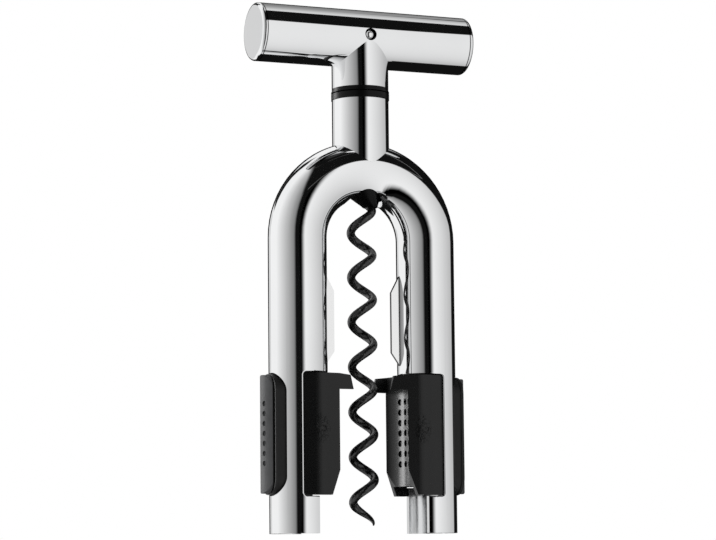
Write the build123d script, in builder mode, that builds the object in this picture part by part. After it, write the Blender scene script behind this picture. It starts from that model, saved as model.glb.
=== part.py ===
from build123d import *

import math
import os

# Self-pulling corkscrew: a T-handle turns a worm in the neck of a two-legged tube frame.
# Sizes are in millimetres. +Z is up and X runs across the two legs.
# The origin is midway between the leg ends, on the plane that they stand on.

# Tubes
tube_d = 18.0
tube_wall = 1.5
neck_step = 0.2
neck_wall = 1.5

# Frame
leg_spacing = 42.8
leg_length = 90.0
neck_rise = 13.0
channel_offset = 3.4
window_edge_radius = 0.4

# Fins that stop the cork turning
fin_thickness = 1.2
fin_reach = 2.8
fin_raise = 3.2
fin_root_length = 27.8
fin_bevel_low = 4.0
fin_bevel_high = 5.2

# Handle
bar_length = 70.6
stem_length = 15.9
cap_thickness = 1.2
cap_spigot_length = 4.0
cap_crown = 0.3
cap_edge_radius = 1.1
pin_d = 2.8
pin_hole_d = 3.8
pin_recess = 0.35
pin_rounding = 0.4

# Bearing between the stem and the neck
flange_thickness = 2.2
flange_lip = 0.2
stem_ring_thickness = 1.3
stem_ring_lip = 0.35
stem_spigot_length = 5.0
neck_sleeve_length = 7.0
lower_bush_length = 13.0
washer_thickness = 1.0
turn_gap = 0.2

# Spindle, hub and worm
spindle_d = 8.0
spindle_top_margin = 3.5
spindle_chamfer = 0.5
hub_d = 12.4
hub_drop = 2.1
hub_floor = 4.4
hub_tip_d = 4.4
hub_cone_height = 4.9
worm_od = 9.2
wire_d = 2.6
worm_pitch = 13.8
worm_tip_height = 2.4
worm_tip_angle = -26.0
worm_tip_d = 0.35
worm_tip_inset = 0.5
worm_taper_turn = 0.4
worm_taper_power = 0.7
worm_seat = 1.4
worm_end_cover = 0.15

# Jaws
bottle_lip_d = 28.2
cork_way_d = 24.6
jaw_low = 11.5
jaw_height = 36.7
jaw_proud = 0.9
jaw_ridge_radius = 9.0
jaw_back_taper = 1.85
jaw_nose = 11.3
jaw_nose_taper = 1.45
jaw_crease_offset = 4.5
jaw_back_offset = 1.6
jaw_arm_height = 4.7
jaw_arm_reach = 4.1
jaw_arm_slant = 1.1
jaw_arm_slope = 0.4
jaw_arm_thickness = 3.6
jaw_chamfer_height = 7.5
jaw_chamfer_depth = 2.8
jaw_core_raise = 2.9
jaw_core_wall = 2.6
jaw_web = 3.3
jaw_side_wall = 2.7
jaw_edge_radius = 0.8
jaw_mark_d = 1.6
jaw_mark_depth = 0.6
jaw_travel = 1.5
tongue_height = 3.0
tongue_width = 6.0

# Squeeze pads on the outer sides of the legs
pad_half_width = 6.1
pad_corner_radius = 5.4
pad_proud = 0.8
pad_rim = 0.8
pad_rim_step = 0.25
pad_lip = 0.5
pad_groove_depth = 0.7
pad_grip_half_width = 4.2
pad_grip_inset = 0.4
pad_grip_wall = 0.25
pad_grip_crown = 2.0
pad_edge_radius = 0.2
pad_end_margin = 0.1

# Grip dimples, in as many rows on the pads as on the jaws
dimple_rows = 7
dimple_column_pitch = 3.2
dimple_depth = 0.5
jaw_dimple_d = 2.0
jaw_dimple_pitch = 3.2
jaw_dimple_height = 19.3
jaw_dimple_columns = 3
pad_dimple_d = 1.6
pad_dimple_pitch = 3.0
pad_dimple_height = 18.5
pad_dimple_columns = 2

# Dowels that join each pad to its jaw
dowel_d = 2.5
dowel_spacing = 19.0
dowel_pad_depth = 4.5
dowel_end_gap = 0.3

# Clearances
running_clearance = 0.06
press_clearance = 0.05
window_clearance = 0.3
hub_clearance = 0.3
slide_gap = 0.15
cut_margin = 1.0

# Places that follow from the sizes above
tube_r = tube_d / 2
bore_r = tube_r - tube_wall
neck_r = tube_r - neck_step
neck_bore_r = neck_r - neck_wall
leg_x = leg_spacing / 2
crown_axis_z = leg_length + leg_x
neck_top = crown_axis_z + tube_r + neck_rise
flange_top = neck_top + flange_thickness
stem_low = flange_top + turn_gap + stem_ring_thickness
bar_z = stem_low + stem_length
hub_low = crown_axis_z - tube_r - hub_drop
lower_bush_low = crown_axis_z + washer_thickness
hub_top = lower_bush_low - turn_gap - washer_thickness
spindle_low = hub_low + hub_floor
spindle_top = bar_z + pin_d / 2 + spindle_top_margin
spindle_r = spindle_d / 2
bearing_r = spindle_r + running_clearance
sleeve_r = neck_bore_r - press_clearance
jaw_top = jaw_low + jaw_height
jaw_back = leg_x + jaw_back_offset
jaw_half_width = tube_r + jaw_proud
sill_z = jaw_low + jaw_core_raise - window_clearance
channel_x = leg_x - channel_offset
fin_root_low = jaw_top + fin_raise
arm_low = jaw_top - jaw_arm_height
lip_r = bottle_lip_d / 2
pad_height = jaw_height - 2 * pad_end_margin
pad_mid = jaw_low + jaw_height / 2
pad_edge = leg_x + tube_r + pad_proud
far = leg_x + 2 * tube_d

os.makedirs("parts", exist_ok=True)


def finish(piece, label):
    # Names a finished piece and writes it to its own file.
    piece.part.label = label
    export_step(piece.part, f"parts/{label}.step")


def centred(count, pitch):
    # Evenly spaced places about zero.
    return [(i - (count - 1) / 2) * pitch for i in range(count)]


def facing_round(axis_x, angle, z):
    # A plane through an upright axis, which faces away from it at an angle.
    outward = (math.cos(angle), math.sin(angle), 0)
    along = (-math.sin(angle), math.cos(angle), 0)
    return Plane((axis_x, 0, z), x_dir=along, z_dir=outward)


def facing_x(x, z, side=1):
    # A plane across X at a height, which faces away from the middle on its side.
    return Plane((x, 0, z), x_dir=(0, 1, 0), z_dir=(side, 0, 0))


def facing_front(y, z):
    # A plane across Y at a height, which faces the front.
    return Plane((0, y, z), x_dir=(1, 0, 0), z_dir=(0, -1, 0))


def rims_window(edge):
    # True for an edge where a jaw's window meets the outside of its leg.
    middle = edge @ 0.5
    on_outside = abs(math.hypot(abs(middle.X) - leg_x, middle.Y) - tube_r) < window_edge_radius / 10
    return on_outside and sill_z < middle.Z < jaw_top + cut_margin and abs(middle.X) < jaw_back + cut_margin


# Frame bow: one bent tube, with a window for a jaw and one for a pad in each leg,
# and each leg end opened to a channel that faces the other leg
with BuildPart() as frame_bow:
    with BuildLine():
        Line((-leg_x, 0, 0), (-leg_x, 0, leg_length))
        ThreePointArc((-leg_x, 0, leg_length), (0, 0, crown_axis_z), (leg_x, 0, leg_length))
        Line((leg_x, 0, leg_length), (leg_x, 0, 0))
    with BuildSketch(Plane.XY.shift_origin((-leg_x, 0, 0))):
        Circle(tube_r)
        Circle(bore_r, mode=Mode.SUBTRACT)
    sweep()
    with BuildSketch(Plane.XY):
        Rectangle(2 * channel_x, tube_d + 2 * cut_margin)
    extrude(amount=sill_z, mode=Mode.SUBTRACT)
    for face in (-1, 1):
        with BuildSketch(facing_front(0, pad_mid)):
            RectangleRounded(
                2 * (jaw_back + slide_gap),
                jaw_height + 2 * window_clearance,
                jaw_edge_radius + window_clearance,
            )
            if face > 0:
                with Locations((0, sill_z - pad_mid)):
                    Rectangle(2 * far, jaw_height, align=(Align.CENTER, Align.MAX), mode=Mode.SUBTRACT)
        extrude(amount=-face * (tube_r + cut_margin), mode=Mode.SUBTRACT)
    for side in (-1, 1):
        with BuildSketch(facing_x(side * leg_x, pad_mid, side)):
            RectangleRounded(
                2 * (pad_half_width + window_clearance),
                pad_height + 2 * window_clearance,
                pad_corner_radius + window_clearance,
            )
        extrude(amount=tube_d, mode=Mode.SUBTRACT)
        slot_centre = side * (leg_x - tube_r + tube_wall / 2)
        with BuildSketch(Plane.XY.offset(fin_root_low)):
            with Locations((slot_centre, 0)):
                Rectangle(tube_wall + cut_margin, fin_thickness)
        extrude(amount=fin_root_length, mode=Mode.SUBTRACT)
    with BuildSketch(Plane.XY.offset(leg_length)):
        Circle(hub_d / 2 + hub_clearance)
    extrude(amount=crown_axis_z - leg_length, mode=Mode.SUBTRACT)
    with BuildSketch(Plane.XY.offset(crown_axis_z)):
        Circle(neck_bore_r)
    extrude(amount=tube_d, mode=Mode.SUBTRACT)
    fillet(frame_bow.edges().filter_by(rims_window), radius=window_edge_radius)
finish(frame_bow, "frame_bow")

# Frame neck: a tube saddled onto the crown of the bow
with BuildPart() as frame_neck:
    with BuildSketch(Plane.XY.offset(crown_axis_z)):
        Circle(neck_r)
        Circle(neck_bore_r, mode=Mode.SUBTRACT)
    extrude(amount=neck_top - crown_axis_z)
    with Locations((0, 0, leg_length)):
        Torus(leg_x, tube_r, rotation=(90, 0, 0), mode=Mode.SUBTRACT)
finish(frame_neck, "frame_neck")

# Fins: thin plates welded into slots in the inner side of each leg
fin_root = leg_x - tube_r + tube_wall
fin_edge = leg_x - tube_r - fin_reach
fin_root_top = fin_root_low + fin_root_length
with BuildPart() as right_fin:
    with BuildSketch(facing_front(fin_thickness / 2, 0)):
        with BuildLine():
            Polyline(
                (fin_root, fin_root_low),
                (leg_x - tube_r, fin_root_low),
                (fin_edge, fin_root_low + fin_bevel_low),
                (fin_edge, fin_root_top - fin_bevel_high),
                (leg_x - tube_r, fin_root_top),
                (fin_root, fin_root_top),
                close=True,
            )
        make_face()
    extrude(amount=fin_thickness)
finish(right_fin, "right_fin")

with BuildPart() as left_fin:
    mirror(right_fin.part, about=Plane.YZ)
finish(left_fin, "left_fin")

# Neck bush: a flange on the neck's end, with a sleeve that guides the spindle
with BuildPart() as neck_bush:
    with BuildSketch(Plane.XY.offset(neck_top)):
        Circle(neck_r + flange_lip)
    extrude(amount=flange_thickness)
    chamfer(neck_bush.edges().filter_by(GeomType.CIRCLE), length=flange_lip)
    with BuildSketch(Plane.XY.offset(neck_top - neck_sleeve_length)):
        Circle(sleeve_r)
    extrude(amount=neck_sleeve_length)
    with BuildSketch(Plane.XY.offset(neck_top - neck_sleeve_length)):
        Circle(bearing_r)
    extrude(amount=neck_sleeve_length + flange_thickness, mode=Mode.SUBTRACT)
finish(neck_bush, "neck_bush")

# Lower bush: guides the spindle where the neck meets the bow
with BuildPart() as lower_bush:
    with BuildSketch(Plane.XY.offset(lower_bush_low)):
        Circle(sleeve_r)
        Circle(bearing_r, mode=Mode.SUBTRACT)
    extrude(amount=lower_bush_length)
finish(lower_bush, "lower_bush")

# Thrust washer: turns with the hub, below the lower bush
with BuildPart() as thrust_washer:
    with BuildSketch(Plane.XY.offset(hub_top)):
        Circle(hub_d / 2)
        Circle(spindle_r + press_clearance, mode=Mode.SUBTRACT)
    extrude(amount=washer_thickness)
finish(thrust_washer, "thrust_washer")

# Handle bar: a tube with a hole for the spindle below and for the pin across it
bar_tube_length = bar_length - 2 * cap_thickness
with BuildPart() as handle_bar:
    with BuildSketch(facing_x(-bar_tube_length / 2, bar_z)):
        Circle(tube_r)
        Circle(bore_r, mode=Mode.SUBTRACT)
    extrude(amount=bar_tube_length)
    with BuildSketch(facing_front(tube_r + cut_margin, bar_z)):
        Circle(pin_hole_d / 2)
    extrude(amount=tube_d + 2 * cut_margin, mode=Mode.SUBTRACT)
    with BuildSketch(Plane.XY.offset(bar_z - tube_r - cut_margin)):
        Circle(spindle_r + press_clearance)
    extrude(amount=tube_r, mode=Mode.SUBTRACT)
finish(handle_bar, "handle_bar")

# End caps: slightly crowned discs with a small rounded edge, on spigots in the bar
cap_crown_r = (tube_r**2 + cap_crown**2) / (2 * cap_crown)
with BuildPart() as right_end_cap:
    with BuildSketch(facing_x(bar_tube_length / 2, bar_z)):
        Circle(tube_r)
    extrude(amount=cap_thickness + cap_crown)
    with Locations((bar_length / 2 + cap_crown - cap_crown_r, 0, bar_z)):
        Sphere(cap_crown_r, rotation=(0, 0, 90), mode=Mode.INTERSECT)
    fillet(right_end_cap.faces().sort_by(Axis.X)[-1].edges(), radius=cap_edge_radius)
    with BuildSketch(facing_x(bar_tube_length / 2, bar_z)):
        Circle(bore_r - press_clearance)
    extrude(amount=-cap_spigot_length)
finish(right_end_cap, "right_end_cap")

with BuildPart() as left_end_cap:
    mirror(right_end_cap.part, about=Plane.YZ)
finish(left_end_cap, "left_end_cap")

# Handle stem: a short tube saddled under the bar
with BuildPart() as handle_stem:
    with BuildSketch(Plane.XY.offset(stem_low)):
        Circle(neck_r)
        Circle(neck_bore_r, mode=Mode.SUBTRACT)
    extrude(amount=stem_length)
    with BuildSketch(facing_x(-tube_d, bar_z)):
        Circle(tube_r)
    extrude(amount=2 * tube_d, mode=Mode.SUBTRACT)
finish(handle_stem, "handle_stem")

# Stem ring: closes the stem's lower end and turns just above the neck bush
with BuildPart() as stem_ring:
    with BuildSketch(Plane.XY.offset(stem_low - stem_ring_thickness)):
        Circle(neck_r)
    extrude(amount=stem_ring_thickness)
    with BuildSketch(Plane.XY.offset(stem_low - stem_ring_thickness)):
        Circle(neck_r + flange_lip)
    extrude(amount=stem_ring_lip)
    with BuildSketch(Plane.XY.offset(stem_low)):
        Circle(sleeve_r)
    extrude(amount=stem_spigot_length)
    with BuildSketch(Plane.XY.offset(stem_low - stem_ring_thickness)):
        Circle(spindle_r + press_clearance)
    extrude(amount=stem_ring_thickness + stem_spigot_length, mode=Mode.SUBTRACT)
finish(stem_ring, "stem_ring")

# Spindle: a rod from the bar down through the neck into the hub
with BuildPart() as spindle:
    with BuildSketch(Plane.XY.offset(spindle_low)):
        Circle(spindle_r)
    extrude(amount=spindle_top - spindle_low)
    chamfer(spindle.faces().sort_by(Axis.Z)[-1].edges(), length=spindle_chamfer)
    with BuildSketch(facing_front(spindle_d, bar_z)):
        Circle(pin_d / 2 + press_clearance)
    extrude(amount=2 * spindle_d, mode=Mode.SUBTRACT)
finish(spindle, "spindle")

# Handle pin: a round-ended cross pin through the bar and the spindle
pin_half = tube_r - pin_recess
with BuildPart() as handle_pin:
    with BuildSketch(facing_front(pin_half, bar_z)):
        Circle(pin_d / 2)
    extrude(amount=2 * pin_half)
    fillet(handle_pin.edges().filter_by(GeomType.CIRCLE), radius=pin_rounding * pin_d)
finish(handle_pin, "handle_pin")

# Worm: a right-handed helix of round wire, which tapers to a point at its lower end
helix_r = (worm_od - wire_d) / 2
rise = worm_pitch / 360


def helix_plane(angle, inset=0):
    # The plane across the wire at an angle in degrees along the helix.
    turn = math.radians(angle)
    outward = Vector(math.cos(turn), math.sin(turn), 0)
    height = worm_tip_height + (angle - worm_tip_angle) * rise
    place = outward * (helix_r - inset) + Vector(0, 0, height)
    tangent = Vector(-math.sin(turn), math.cos(turn), worm_pitch / (2 * math.pi * helix_r))
    return Plane(place, x_dir=outward, z_dir=tangent.normalized())


def biarc(start, end):
    # Two tangent arcs from one plane's origin to the other's, along their normals.
    chord = end.origin - start.origin
    normals = start.z_dir + end.z_dir
    a = 2 * start.z_dir.dot(end.z_dir) - 2
    b = -2 * chord.dot(normals)
    c = chord.dot(chord)
    reach = (-b - math.sqrt(b * b - 4 * a * c)) / (2 * a)
    first = start.origin + start.z_dir * reach
    last = end.origin - end.z_dir * reach
    middle = (first + last) * 0.5
    TangentArc(start.origin, middle, tangent=start.z_dir)
    TangentArc(middle, end.origin, tangent=(last - first).normalized())


worm_rise = hub_low + worm_seat - worm_tip_height
worm_top_angle = worm_tip_angle + worm_rise / rise
taper_top_angle = worm_tip_angle + 360 * worm_taper_turn
wound_angle = worm_top_angle - taper_top_angle
arc_angle = 90
arc_pairs = math.ceil(wound_angle / arc_angle)
stops = [taper_top_angle + wound_angle * i / arc_pairs for i in range(arc_pairs + 1)]
taper_steps = 8
with BuildPart() as worm:
    with BuildLine():
        for low, high in zip(stops, stops[1:]):
            biarc(helix_plane(low), helix_plane(high))
    with BuildSketch(helix_plane(taper_top_angle)):
        Circle(wire_d / 2)
    sweep()
    for step in range(taper_steps + 1):
        share = step / taper_steps
        angle = worm_tip_angle + (taper_top_angle - worm_tip_angle) * share
        section_d = worm_tip_d + (wire_d - worm_tip_d) * share**worm_taper_power
        with BuildSketch(helix_plane(angle, worm_tip_inset * (1 - share) ** 2)):
            Circle(section_d / 2)
    loft()
finish(worm, "worm")


def least_gap(planes, turn_planes):
    # The least space between stretches of wire that lie at least half a turn apart.
    far_apart = turn_planes // 2
    spans = [
        (first.origin - second.origin).length
        for i, first in enumerate(planes)
        for second in planes[i + far_apart :]
    ]
    return min(spans) - wire_d


turn_steps = 24
worm_planes = [
    helix_plane(taper_top_angle + 360 * i / turn_steps) for i in range(int(wound_angle * turn_steps / 360))
]
wire_length = wound_angle / 360 * math.hypot(worm_pitch, 2 * math.pi * helix_r)
print("worm turns", round(worm_rise / worm_pitch, 2))
print("least gap between the worm's turns", round(least_gap(worm_planes, turn_steps), 2))
print("worm volume", round(worm.part.volume), "against", round(wire_length * math.pi * wire_d**2 / 4))

# Worm hub: formed around the worm's upper end, with a cone that leans to the wire
# below the crown of the bow and a ball that covers the wire's end
wire_exit = helix_plane(worm_tip_angle + (hub_low - worm_tip_height) / rise).origin
with BuildPart() as worm_hub:
    with BuildSketch(Plane.XY.offset(hub_low)):
        with Locations((wire_exit.X, wire_exit.Y)):
            Circle(hub_tip_d / 2)
    with BuildSketch(Plane.XY.offset(hub_low + hub_cone_height)):
        Circle(hub_d / 2)
    loft()
    with BuildSketch(Plane.XY.offset(hub_low + hub_cone_height)):
        Circle(hub_d / 2)
    extrude(amount=hub_top - hub_low - hub_cone_height)
    with Locations(helix_plane(worm_top_angle).origin):
        Sphere(wire_d / 2 + worm_end_cover)
    with BuildSketch(Plane.XY.offset(spindle_low)):
        Circle(spindle_r + press_clearance)
    extrude(amount=hub_top - spindle_low, mode=Mode.SUBTRACT)
    add(worm.part, mode=Mode.SUBTRACT)
finish(worm_hub, "worm_hub")

# Jaws: each fills a window in its leg, with a hollow face for the bottle's lip,
# two arms that stop on top of the lip and a tongue inside the leg above
arm_tip = jaw_nose - jaw_arm_reach
core_half = jaw_half_width - jaw_side_wall
crease_x = leg_x - jaw_crease_offset
nose_slope = jaw_nose_taper / (crease_x - jaw_nose)
back_slope = jaw_back_taper / (jaw_back - crease_x)
middle_half = jaw_half_width - crease_x * nose_slope
outer_half = jaw_half_width - (far - crease_x) * back_slope
mark_z = pad_mid + jaw_mark_d
with BuildPart() as right_jaw:
    with BuildSketch(facing_front(jaw_half_width, 0)):
        with BuildLine():
            Polyline(
                (jaw_back, jaw_low),
                (jaw_back, jaw_top),
                (jaw_nose, jaw_top),
                (arm_tip, jaw_top - jaw_arm_slope),
                (arm_tip - jaw_arm_slant, arm_low),
                (jaw_nose, arm_low),
                (jaw_nose, jaw_low + jaw_chamfer_height),
                (jaw_nose + jaw_chamfer_depth, jaw_low),
                close=True,
            )
        make_face()
    extrude(amount=2 * jaw_half_width)
    long_edges = right_jaw.edges().filter_by(Axis.Y)
    back_edges = long_edges.group_by(Axis.X)[-1]
    fillet(back_edges, radius=jaw_edge_radius)
    with BuildSketch(Plane.XY.offset(jaw_low)):
        Circle(lip_r)
    extrude(amount=arm_low - jaw_low, mode=Mode.SUBTRACT)
    with BuildSketch(Plane.XY.offset(arm_low)):
        Circle(cork_way_d / 2)
        Rectangle(2 * far, 2 * (jaw_half_width - jaw_arm_thickness), mode=Mode.INTERSECT)
    extrude(amount=jaw_arm_height, mode=Mode.SUBTRACT)
    with BuildSketch(Plane.XY.offset(jaw_low)):
        Rectangle(2 * far, 2 * core_half)
    extrude(amount=jaw_core_raise, mode=Mode.SUBTRACT)
    with BuildSketch(Plane.XY.offset(jaw_low)):
        with Locations((channel_x - window_clearance, 0)):
            Rectangle(far, far, align=(Align.MIN, Align.MIN))
    extrude(amount=jaw_core_raise, mode=Mode.SUBTRACT)
    pocket_low = lip_r + jaw_core_wall
    pocket_high = jaw_back - jaw_web
    with BuildSketch(Plane.XY.offset(jaw_low)):
        with Locations(((pocket_low + pocket_high) / 2, 0)):
            Rectangle(pocket_high - pocket_low, 2 * (core_half - jaw_core_wall))
    extrude(amount=arm_low - jaw_low, mode=Mode.SUBTRACT)
    tongue_room = math.sqrt(bore_r**2 - (tongue_width / 2) ** 2)
    tongue_nose = leg_x - tongue_room + jaw_travel + window_clearance
    with BuildSketch(Plane.XY.offset(jaw_top)):
        with Locations(((tongue_nose + jaw_back - jaw_edge_radius) / 2, 0)):
            Rectangle(jaw_back - jaw_edge_radius - tongue_nose, tongue_width)
    extrude(amount=tongue_height)
    for face in (-1, 1):
        with BuildSketch(Plane.XY.offset(jaw_low)) as beyond_face:
            with BuildLine():
                Polyline(
                    (0, face * middle_half),
                    (crease_x, face * jaw_half_width),
                    (far, face * outer_half),
                    (far, face * (jaw_half_width + cut_margin)),
                    (0, face * (jaw_half_width + cut_margin)),
                    close=True,
                )
            make_face()
            corners = beyond_face.vertices()
            ridge = corners.sort_by_distance((crease_x, face * jaw_half_width, 0))[0]
            fillet(ridge, radius=jaw_ridge_radius)
        extrude(amount=jaw_height, mode=Mode.SUBTRACT)
        with BuildSketch(facing_front(face * jaw_half_width, mark_z)):
            with Locations((crease_x, 0)):
                Circle(jaw_mark_d / 2)
        extrude(amount=face * jaw_mark_depth, mode=Mode.SUBTRACT)
    for angle in centred(jaw_dimple_columns, dimple_column_pitch / lip_r):
        with BuildSketch(facing_round(0, angle, jaw_low + jaw_dimple_height)):
            with GridLocations(0, jaw_dimple_pitch, 1, dimple_rows):
                Circle(jaw_dimple_d / 2)
        extrude(amount=lip_r + dimple_depth, mode=Mode.SUBTRACT)
    with BuildSketch(facing_x(jaw_back, pad_mid)):
        with GridLocations(0, dowel_spacing, 1, 2):
            Circle(dowel_d / 2 + press_clearance)
    extrude(amount=-jaw_web, mode=Mode.SUBTRACT)
finish(right_jaw, "right_jaw")

with BuildPart() as left_jaw:
    mirror(right_jaw.part, about=Plane.YZ)
finish(left_jaw, "left_jaw")

# Pads: each slides in the outer window of its leg, with a rim, a groove and a rounded grip
grip_wall_top = pad_edge + pad_grip_wall
grip_top = grip_wall_top + pad_grip_crown
grip_r = (pad_grip_half_width**2 + pad_grip_crown**2) / (2 * pad_grip_crown)
grip_axis_x = grip_top - grip_r
with BuildPart() as right_pad:
    with BuildSketch(facing_x(jaw_back, pad_mid)):
        RectangleRounded(
            2 * (pad_half_width - pad_rim_step),
            pad_height - 2 * pad_rim_step,
            pad_corner_radius - pad_rim_step,
        )
    extrude(amount=pad_edge - jaw_back)
    with BuildSketch(facing_x(pad_edge - pad_rim, pad_mid)):
        RectangleRounded(2 * pad_half_width, pad_height, pad_corner_radius)
    extrude(amount=pad_rim)
    with BuildSketch(facing_x(pad_edge, pad_mid)):
        RectangleRounded(
            2 * (pad_half_width - pad_lip),
            pad_height - 2 * pad_lip,
            pad_corner_radius - pad_lip,
        )
    extrude(amount=-pad_groove_depth, mode=Mode.SUBTRACT)
    with BuildSketch(facing_x(pad_edge - pad_groove_depth, pad_mid)):
        RectangleRounded(
            2 * pad_grip_half_width,
            pad_height - 2 * pad_grip_inset,
            pad_grip_half_width - pad_grip_inset,
        )
    extrude(amount=pad_groove_depth + pad_grip_wall + pad_grip_crown)
    with BuildSketch(Plane.XY.offset(jaw_low)):
        with BuildLine():
            Polyline(
                (jaw_back, -pad_half_width - cut_margin),
                (grip_wall_top, -pad_half_width - cut_margin),
                (grip_wall_top, -pad_grip_half_width),
            )
            ThreePointArc(
                (grip_wall_top, -pad_grip_half_width),
                (grip_top, 0),
                (grip_wall_top, pad_grip_half_width),
            )
            Polyline(
                (grip_wall_top, pad_grip_half_width),
                (grip_wall_top, pad_half_width + cut_margin),
                (jaw_back, pad_half_width + cut_margin),
                (jaw_back, -pad_half_width - cut_margin),
            )
        make_face()
    extrude(amount=jaw_height, mode=Mode.INTERSECT)
    fillet(right_pad.faces().sort_by(Axis.X)[-1].edges(), radius=pad_edge_radius)
    for angle in centred(pad_dimple_columns, dimple_column_pitch / grip_r):
        bottoms = facing_round(grip_axis_x, angle, jaw_low + pad_dimple_height)
        with BuildSketch(bottoms.offset(grip_r - dimple_depth)):
            with GridLocations(0, pad_dimple_pitch, 1, dimple_rows):
                Circle(pad_dimple_d / 2)
        extrude(amount=2 * dimple_depth, mode=Mode.SUBTRACT)
    with BuildSketch(facing_x(jaw_back, pad_mid)):
        with GridLocations(0, dowel_spacing, 1, 2):
            Circle(dowel_d / 2 + press_clearance)
    extrude(amount=dowel_pad_depth, mode=Mode.SUBTRACT)
finish(right_pad, "right_pad")

with BuildPart() as left_pad:
    mirror(right_pad.part, about=Plane.YZ)
finish(left_pad, "left_pad")

# Dowels: two on each side, pressed into a pad and its jaw
dowel_length = jaw_web + dowel_pad_depth - 2 * dowel_end_gap
with BuildPart() as right_dowels:
    with BuildSketch(facing_x(pocket_high + dowel_end_gap, pad_mid)):
        with GridLocations(0, dowel_spacing, 1, 2):
            Circle(dowel_d / 2)
    extrude(amount=dowel_length)
finish(right_dowels, "right_dowels")

with BuildPart() as left_dowels:
    mirror(right_dowels.part, about=Plane.YZ)
finish(left_dowels, "left_dowels")

print("height", round(bar_z + tube_r, 2), "hub from", round(hub_low, 2), "to", round(hub_top, 2))
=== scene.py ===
import math

import bmesh
import bpy
from bpy.props import FloatProperty, FloatVectorProperty, IntProperty, PointerProperty
from mathutils import Matrix, Vector


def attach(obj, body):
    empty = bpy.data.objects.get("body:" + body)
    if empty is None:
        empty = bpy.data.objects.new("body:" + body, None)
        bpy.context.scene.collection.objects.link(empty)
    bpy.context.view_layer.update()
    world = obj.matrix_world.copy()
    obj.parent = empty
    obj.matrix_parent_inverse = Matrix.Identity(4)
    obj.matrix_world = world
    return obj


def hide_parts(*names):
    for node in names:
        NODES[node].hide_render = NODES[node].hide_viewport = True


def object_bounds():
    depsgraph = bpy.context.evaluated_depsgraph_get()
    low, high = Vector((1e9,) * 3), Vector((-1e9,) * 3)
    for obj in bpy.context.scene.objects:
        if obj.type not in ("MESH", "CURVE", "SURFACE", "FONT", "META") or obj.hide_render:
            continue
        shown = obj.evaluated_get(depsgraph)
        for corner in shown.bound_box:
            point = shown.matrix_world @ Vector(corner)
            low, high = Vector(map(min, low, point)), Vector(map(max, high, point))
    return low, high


bl_info = {
    "name": "Corkscrew dresser",
    "version": (1, 0, 0),
    "blender": (4, 5, 0),
    "location": "3D View > Sidebar > Corkscrew",
    "description": "Gives a self-pulling corkscrew its chrome, plastic and coated worm, and a studio",
    "category": "Object",
}

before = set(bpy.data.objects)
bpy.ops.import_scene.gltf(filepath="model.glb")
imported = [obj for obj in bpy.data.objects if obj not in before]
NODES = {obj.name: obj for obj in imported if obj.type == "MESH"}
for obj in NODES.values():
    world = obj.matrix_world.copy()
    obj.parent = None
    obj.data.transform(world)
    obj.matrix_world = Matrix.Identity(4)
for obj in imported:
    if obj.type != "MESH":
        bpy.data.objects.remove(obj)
CAD_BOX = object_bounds()
MM = 0.001

# Size of the polishing marks on each kind of steel
CHROME_MARK = 14 * MM
FIN_MARK = 6 * MM
PIN_MARK = 3 * MM
TURNED_MARK = 4 * MM

# Directions in which the polishing marks are drawn out
ALONG_LEGS = (1, 1, 0.2)
ALONG_FINS = (1, 1, 0.1)
ALONG_BAR = (0.2, 1, 1)
ALL_WAYS = (1, 1, 1)
ROUND_SHAFT = (1, 1, 14)

# How strongly the mould's flow marks show in the colour of a plastic
MOTTLE = 0.35

# Pieces that the rear lamp lights
PLASTICS = ("left_jaw", "right_jaw", "left_pad", "right_pad", "neck_bush", "stem_ring", "worm_hub")


# Sizes and colours


def colour(name, description, default):
    """A colour property with a picker."""
    return FloatVectorProperty(
        name=name, description=description, subtype="COLOR", size=3, min=0, max=1, default=default
    )


def length(name, description, default):
    """A length property in metres, given in millimetres."""
    return FloatProperty(
        name=name, description=description, unit="LENGTH", precision=5, min=0, default=default * MM
    )


def share(name, description, default):
    """A property between nought and one."""
    return FloatProperty(
        name=name, description=description, subtype="FACTOR", min=0, max=1, default=default
    )


def angle(name, description, default):
    """An angle property, given in degrees."""
    return FloatProperty(
        name=name, description=description, subtype="ANGLE", default=math.radians(default)
    )


def power(name, description, default):
    """A lamp's power."""
    return FloatProperty(name=name, description=description, unit="POWER", default=default)


class CorkscrewSteel(bpy.types.PropertyGroup):
    chrome: colour("Chrome", "Colour of the plated tubes", (0.86, 0.865, 0.87))
    chrome_gloss: share("Chrome roughness", "Roughness of clean chrome", 0.025)
    chrome_haze: share("Chrome haze", "Extra roughness where the plating was handled", 0.035)
    inside_gloss: share("Inside roughness", "Roughness of the unplated inside of the legs", 0.14)
    leg_x: length("Leg place", "Distance of a leg's middle from the worm's axis", 21.4)
    leg_height: length("Leg height", "Height of the straight part of the legs", 90.0)
    inside_radius: length("Inside radius", "Reach of the unplated inside from a leg's middle", 8.4)
    fin: colour("Fins", "Colour of the two fins and the pin", (0.9, 0.9, 0.9))
    fin_gloss: share("Fin roughness", "Roughness of the polished sheet of the fins", 0.09)
    fin_haze: share("Fin haze", "Extra roughness of the fins where they were handled", 0.05)
    fin_half: length("Fin half thickness", "Half the thickness of a fin's sheet", 0.6)
    bar_half: length("Bar half length", "Half the length of the handle's bar without its caps", 34.1)
    # Painted shade: over this width the bar's ends are coloured near-black, standing for the shadow in
    # the gap where each cap meets the bar.
    bar_seam_shade: length("Bar seam", "Width of the dark seam at each end of the bar", 0.4)
    turned: colour("Turned steel", "Colour of the spindle, washer and dowels", (0.62, 0.63, 0.64))
    turned_gloss: share("Turned roughness", "Roughness of the turned steel", 0.22)
    turned_haze: share("Turned haze", "Extra roughness of the turned steel", 0.12)
    turned_tarnish: share("Turned tarnish", "How far the turned steel's tint darkens", 0.12)
    ripple: length("Polishing ripple", "Height of the ripples that polishing leaves", 0.0004)


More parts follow.
